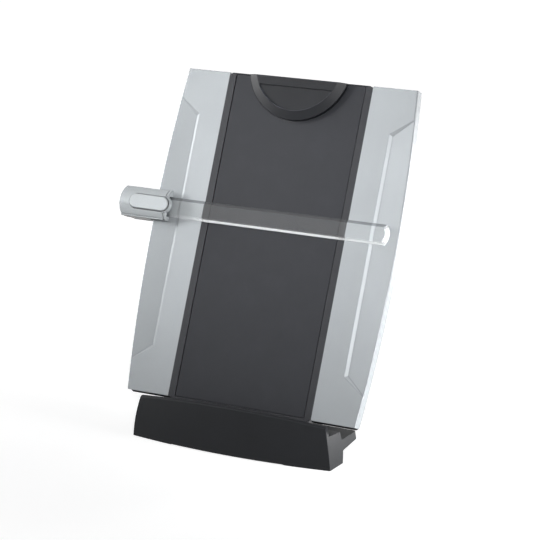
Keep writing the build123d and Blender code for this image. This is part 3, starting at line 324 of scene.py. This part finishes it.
def moulded_black(name, colour, roughness, grain=0.55, depth=0.035, specular=0.35,
                  soft=0.4, edge_wear_and_highlight=2.2, toward=None):
    """Black moulded plastic: spark-eroded grain, faint handling marks, edges polished paler by use.

    Grain, its depth and the edges' softness are in millimetres; the paler-edge factor is how much
    paler edges get. Without a direction that is wear; with one, only edges turned toward it get
    paler, as a painted highlight.
    """
    shader = Shader(name, Specular_IOR_Level=specular)
    edges = shader.soften(soft, toward)
    pits = shader.cells(grain)
    fine = shader.noise(size=grain * 0.45)
    marks = shader.noise(size=26.0, detail=5.0, roughness=0.62)
    # Paler edges: wear, and with a direction, a painted highlight on the edges turned toward it.
    edge_wear_and_painted_light = shader.product(edges, shader.remap(shader.noise(size=7.0, detail=4.0), (0.2, 1.0)))
    base = shader.ramp(
        marks, [(0.3, shade(colour, 0.88)), (0.55, colour), (0.8, shade(colour, 1.18))]
    )
    shader.set("Base Color", shader.mixed(edge_wear_and_painted_light, base, shade(colour, edge_wear_and_highlight)))
    shader.set("Roughness", shader.remap(marks, (roughness - 0.05, roughness + 0.06)))
    shader.bump(pits, depth)
    shader.bump(fine, depth * 0.5)
    return shader.done()


BAR_TURNED = (0.3, 0.55)            # lean toward a direction, from none to a whole bevel's
BAR_HIGHLIGHT_LEFT_FADE = (-66.0, -45.0)      # where the painted highlight on the ground bevel begins, across the object
BAR_HIGHLIGHT_RIGHT_FADE = (82.0, 92.0)       # where the painted highlight goes fainter, over the right wing
BAR_HIGHLIGHT_TOP = (164.0, 164.4)     # upper limit of the ground strip's painted highlight, up the panel


def clear_acrylic(name):
    """Polished clear acrylic for the guide bar.

    Its lower bevel and right end are frosted and whitish as a ground finish, kept only over a
    stretch across the object and below a height up the panel, so it is partly a painted highlight;
    its upper bevel is tinted dark as painted shade.
    """
    shader = Shader(name, IOR=1.49)
    hair = shader.noise(size=0.5, stretch=(0.03, 1.0, 1.0))
    # Painted highlight in part: the ground finish is frosted and whitish only over a stretch across
    # the object and below a height up the panel.
    ground_and_painted_highlight = shader.product(shader.facing(-UP_PANEL, BAR_TURNED), shader.across(BAR_HIGHLIGHT_LEFT_FADE))
    fainter = shader.remap(shader.across(BAR_HIGHLIGHT_RIGHT_FADE), (1.0, 0.45), RISING)
    ground_and_painted_highlight = shader.product(ground_and_painted_highlight, fainter)
    ground_and_painted_highlight = shader.product(ground_and_painted_highlight, shader.below(BAR_HIGHLIGHT_TOP))
    ground_and_painted_highlight = shader.larger(ground_and_painted_highlight, shader.facing(RIGHTWARD, BAR_TURNED))
    clear = shader.ramp(ground_and_painted_highlight, [(0.0, (0.96, 0.97, 0.97)), (1.0, (0.92, 0.94, 0.95))])
    # Painted shade: the upper bevel is tinted dark.
    upper_bevel_shade = shader.facing(UP_PANEL, BAR_TURNED)
    shader.set("Base Color", shader.mixed(upper_bevel_shade, clear, (0.3, 0.31, 0.33)))
    shader.set("Transmission Weight", shader.remap(ground_and_painted_highlight, (1.0, 0.3), RISING))
    polished = shader.remap(hair, (0.08, 0.12), (0.35, 0.8))
    frosted = shader.remap(ground_and_painted_highlight, (0.0, 0.4), RISING)
    shader.set("Roughness", shader.larger(polished, frosted))
    shader.bump(shader.noise(size=30.0, detail=1.0), depth=0.01)
    return shader.done()


def steel(name, colour, roughness, lines=(1.0, 1.0, 0.05)):
    """Turned or drawn steel with fine tool lines along the axis that has the smallest factor."""
    shader = Shader(name, Metallic=1.0)
    tool = shader.noise(size=0.12, stretch=lines)
    shader.set("Base Color", shader.ramp(tool, [(0.3, shade(colour, 0.85)), (0.7, colour)]))
    shader.set("Roughness", shader.remap(tool, (roughness - 0.06, roughness + 0.08)))
    shader.bump(tool, depth=0.006)
    return shader.done()


def rubber(name, colour):
    """Dull rubber with a little dust."""
    shader = Shader(name, Specular_IOR_Level=0.25)
    dust_and_painted_shade = shader.noise(size=3.0, detail=5.0, roughness=0.65)
    shader.set("Base Color", shader.ramp(dust_and_painted_shade, [(0.4, colour), (0.75, shade(colour, 1.7))]))
    shader.set("Roughness", shader.remap(dust_and_painted_shade, (0.78, 0.9)))
    shader.bump(shader.noise(size=0.35, detail=3.0), depth=0.03)
    return shader.done()


def acetal(name, colour):
    """Smooth, slightly waxy bearing plastic."""
    shader = Shader(name, Specular_IOR_Level=0.4)
    flow = shader.noise(size=4.0, detail=3.0)
    shader.set("Base Color", shader.ramp(flow, [(0.3, shade(colour, 0.95)), (0.7, colour)]))
    shader.set("Roughness", shader.remap(flow, (0.32, 0.42)))
    shader.bump(shader.noise(size=0.4), depth=0.01)
    return shader.done()


LOOKS = {
    "silver_wing": (silver_paint, dict(colour=(0.325, 0.346, 0.361), roughness=0.38)),
    "silver_slider": (silver_paint, dict(colour=(0.39, 0.414, 0.428), roughness=0.38)),
    "foot_black": (moulded_black, dict(
        colour=(0.011, 0.012, 0.014), roughness=0.5, grain=0.6, depth=0.03, specular=0.18,
        soft=0.6, edge_wear_and_highlight=3.5,
    )),
    "frame_black": (moulded_black, dict(
        colour=(0.024, 0.025, 0.029), roughness=0.5, grain=0.5, depth=0.03, specular=0.25,
    )),
    "board_black": (moulded_black, dict(
        colour=(0.0245, 0.0257, 0.03), roughness=0.6, grain=0.8, depth=0.05, specular=0.2,
    )),
    # The clip's edges turned up the panel are made much paler, as a painted highlight.
    "clip_black": (moulded_black, dict(
        colour=(0.0095, 0.0103, 0.0125), roughness=0.42, grain=0.5, depth=0.02, specular=0.2,
        soft=0.9, edge_wear_and_highlight=14.0, toward=UP_PANEL,
    )),
    "cover_black": (moulded_black, dict(
        colour=(0.02, 0.0205, 0.022), roughness=0.6, grain=0.9, depth=0.06,
    )),
    "rail_black": (moulded_black, dict(
        colour=(0.035, 0.035, 0.037), roughness=0.45, grain=0.4, depth=0.015,
    )),
    "powder_coat": (moulded_black, dict(
        colour=(0.03, 0.03, 0.032), roughness=0.55, grain=0.35, depth=0.05,
    )),
    "clear_acrylic": (clear_acrylic, {}),
    "pin_steel": (steel, dict(colour=(0.6, 0.6, 0.61), roughness=0.3, lines=(0.05, 1.0, 1.0))),
    "screw_zinc": (steel, dict(colour=(0.55, 0.56, 0.58), roughness=0.36)),
    "spring_wire": (steel, dict(colour=grey(0.5), roughness=0.28)),
    "pad_rubber": (rubber, dict(colour=grey(0.02))),
    "acetal": (acetal, dict(colour=(0.72, 0.71, 0.67))),
}
USES = {
    "silver_wing": ["wing_left", "wing_right"],
    "silver_slider": ["slider_housing", "slider_back", "release_button"],
    "foot_black": ["base_body"],
    "frame_black": ["centre_frame"],
    "board_black": ["memo_board"],
    "clip_black": ["paper_clip"],
    "cover_black": ["rear_cover", "base_plate", "rear_leg"],
    "rail_black": ["guide_rail", "bar_clamp"],
    "powder_coat": ["pivot_bracket_left", "pivot_bracket_right"],
    "clear_acrylic": ["guide_bar"],
    "pin_steel": ["pivot_pin_left", "pivot_pin_right", "leg_pin", "clip_pin"],
    "screw_zinc": [
        "base_plate_screws", "bracket_screws", "rear_cover_screws", "rail_screws",
        "slider_screws", "bar_screws",
    ],
    "spring_wire": ["clip_spring", "button_spring"],
    "pad_rubber": ["rubber_feet", "leg_foot_pad", "clip_pad"],
    "acetal": ["pivot_washers", "leg_washers", "brake_shoe"],
}


def dress():
    """Gives every piece its material, in all the slots that it has."""
    for name, nodes in USES.items():
        make, settings = LOOKS[name]
        material = make(name, **settings)
        for node in nodes:
            slots = NODES[node].data.materials
            if not slots:
                slots.append(material)
            for index in range(len(slots)):
                slots[index] = material


def let_light_through(node):
    """Clear plastic this thin casts no shadow to speak of, so lamp light passes it unhindered."""
    NODES[node].visible_shadow = False
    NODES[node].visible_diffuse = False


# ---------------------------------------------------------------- dark rib standing in for shade
RIB_SPAN = (71.4, 117.0)            # inner and outer end, across from the panel's middle
RIB_END = 1.2                       # length of the tapered ends
RIB_END_SHARE = 0.3                 # what is left of the rib's depth at its very ends
RIB_PROFILE = [                     # up the panel, and out of it toward the reader
    (0.3, -6.9), (-1.0, -6.9), (-1.4, -7.4), (-1.4, -8.4), (-1.0, -8.9), (0.3, -8.9),
]


def shade_rib(name, side):
    """Thin black rib hung under the panel's lower edge behind one wing, a dark part put there for
    the shade under the wing's lower edge.
    """
    mesh = bmesh.new()
    inner, outer = RIB_SPAN
    stations = [
        (inner, RIB_END_SHARE), (inner + RIB_END, 1.0),
        (outer - RIB_END, 1.0), (outer, RIB_END_SHARE),
    ]
    sections = []
    for u, share in stations:
        ring = []
        for v, z in RIB_PROFILE:
            depth = v if v > 0 else v * share
            place = Vector((side * u * MM, 0.0, 0.0)) + UP_PANEL * depth * MM + OUT_PANEL * z * MM
            ring.append(mesh.verts.new(place + PANEL_FOOT + FOOT_ORIGIN))
        sections.append(ring)
    for first, second in zip(sections, sections[1:]):
        for index in range(len(RIB_PROFILE)):
            following = (index + 1) % len(RIB_PROFILE)
            mesh.faces.new((first[index], first[following], second[following], second[index]))
    mesh.faces.new(sections[0])
    mesh.faces.new(sections[-1])
    bmesh.ops.recalc_face_normals(mesh, faces=mesh.faces)
    data = bpy.data.meshes.new(name)
    mesh.to_mesh(data)
    mesh.free()
    data.materials.append(bpy.data.materials["cover_black"])
    rib = bpy.data.objects.new(name, data)
    bpy.context.scene.collection.objects.link(rib)
    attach(rib, "panel")


# ---------------------------------------------------------------- studio
PLAIN_SPREAD = 180.0                # degrees that a soft box without a grid shines into
WORLD_LIGHT = 0.08
WORLD_TINT = (0.95, 0.97, 1.0)
FLOOR_REACH = 6.0
FLOOR_GREY = 0.62
FLOOR_GLOW = (0.7, 1.0)             # near the object, and away from it
FLOOR_FADE = (0.1, 0.6)             # distances from the middle between which the glow grows


def lamp(name, place, target, size, power, spread=PLAIN_SPREAD):
    """Rectangular soft box; a spread in degrees narrows it as a grid does."""
    data = bpy.data.lights.new(name, "AREA")
    data.shape = "RECTANGLE"
    data.size, data.size_y = size
    data.energy = power
    data.spread = math.radians(spread)
    obj = bpy.data.objects.new(name, data)
    bpy.context.scene.collection.objects.link(obj)
    obj.location = Vector(place) + FOOT_ORIGIN
    aim(obj, Vector(target) + FOOT_ORIGIN)
    obj.visible_camera = False


def seen_directly(tree):
    """1 for camera, glossy and transmission rays, 0 for the rays that light the object."""
    path = tree.nodes.new("ShaderNodeLightPath")
    total = path.outputs["Is Camera Ray"]
    for output in ("Is Glossy Ray", "Is Transmission Ray"):
        total = arithmetic(tree, "ADD", total, path.outputs[output], clamp=True)
    return total


def build_world():
    """White to look at, and a faint cool light from all round."""
    world = bpy.data.worlds.new("studio")
    bpy.context.scene.world = world
    world.use_nodes = True
    tree = world.node_tree
    lighting = tree.nodes["Background"]
    lighting.inputs["Color"].default_value = (*WORLD_TINT, 1.0)
    lighting.inputs["Strength"].default_value = WORLD_LIGHT
    backdrop = tree.nodes.new("ShaderNodeBackground")
    backdrop.inputs["Color"].default_value = (*WHITE, 1.0)
    backdrop.inputs["Strength"].default_value = 1.0
    mix = tree.nodes.new("ShaderNodeMixShader")
    tree.links.new(seen_directly(tree), mix.inputs["Fac"])
    tree.links.new(lighting.outputs["Background"], mix.inputs[1])
    tree.links.new(backdrop.outputs["Background"], mix.inputs[2])
    tree.links.new(mix.outputs["Shader"], tree.nodes["World Output"].inputs["Surface"])


def floor_paint():
    """Pale grey that glows up to white when seen directly, less near the object."""
    material = bpy.data.materials.new("floor_white")
    material.use_nodes = True
    tree = material.node_tree
    tree.nodes.remove(tree.nodes["Principled BSDF"])
    diffuse = tree.nodes.new("ShaderNodeBsdfDiffuse")
    diffuse.inputs["Color"].default_value = (*grey(FLOOR_GREY), 1.0)
    coordinates = tree.nodes.new("ShaderNodeTexCoord")
    distance = tree.nodes.new("ShaderNodeVectorMath")
    distance.operation = "LENGTH"
    tree.links.new(coordinates.outputs["Object"], distance.inputs[0])
    fade = tree.nodes.new("ShaderNodeMapRange")
    fade.interpolation_type = "SMOOTHSTEP"
    fade.inputs["From Min"].default_value, fade.inputs["From Max"].default_value = FLOOR_FADE
    fade.inputs["To Min"].default_value, fade.inputs["To Max"].default_value = FLOOR_GLOW
    tree.links.new(distance.outputs["Value"], fade.inputs["Value"])
    glow = arithmetic(tree, "MULTIPLY", fade.outputs["Result"], seen_directly(tree))
    shine = tree.nodes.new("ShaderNodeEmission")
    tree.links.new(glow, shine.inputs["Strength"])
    add = tree.nodes.new("ShaderNodeAddShader")
    tree.links.new(diffuse.outputs["BSDF"], add.inputs[0])
    tree.links.new(shine.outputs["Emission"], add.inputs[1])
    tree.links.new(add.outputs["Shader"], tree.nodes["Material Output"].inputs["Surface"])
    return material


def build_floor():
    """Plain square floor that shows the object's shadow."""
    mesh = bpy.data.meshes.new("floor")
    corners = [
        (x * FLOOR_REACH, y * FLOOR_REACH, 0) for x, y in ((-1, -1), (1, -1), (1, 1), (-1, 1))
    ]
    mesh.from_pydata(corners, [], [(0, 1, 2, 3)])
    floor = bpy.data.objects.new("floor", mesh)
    bpy.context.scene.collection.objects.link(floor)
    mesh.materials.append(floor_paint())


def light_studio():
    """Soft boxes; those in front with a grid light the panel's upper half most."""
    upper_half = (0.01, 0.11, 0.27)
    foot_end = (0.14, 0.05, 0.03)
    lamp("key_upper_left", place=(-0.28, -0.30, 0.78), target=(0.0, 0.08, 0.22),
         size=(0.5, 0.35), power=0.6)
    lamp("grid_front_right", place=(0.50, -0.75, 0.62), target=upper_half,
         size=(0.4, 0.4), power=0.62, spread=32.0)
    lamp("grid_front_left", place=(-0.85, -0.45, 0.55), target=upper_half,
         size=(0.4, 0.4), power=0.42, spread=32.0)
    lamp("grid_left", place=(-1.0, 0.0, 0.5), target=(-0.05, 0.1, 0.24),
         size=(0.4, 0.4), power=0.34, spread=40.0)
    lamp("back_right", place=(0.60, 1.0, 0.25), target=(0.0, 0.08, 0.18),
         size=(0.4, 0.4), power=2.0)
    lamp("low_right", place=(0.6, 0.0, 0.1), target=foot_end,
         size=(0.2, 0.2), power=0.6, spread=60.0)
    lamp("low_back_right", place=(0.55, 0.75, 0.06), target=foot_end,
         size=(0.25, 0.2), power=0.45, spread=50.0)


dress()
let_light_through("guide_bar")
# Dark ribs under the wings' lower edges, standing in for the shade there.
shade_rib("shade_rib_left", -1)
shade_rib("shade_rib_right", 1)
add_camera()
build_world()
build_floor()
light_studio()
bpy.context.scene.view_settings.view_transform = "Standard"
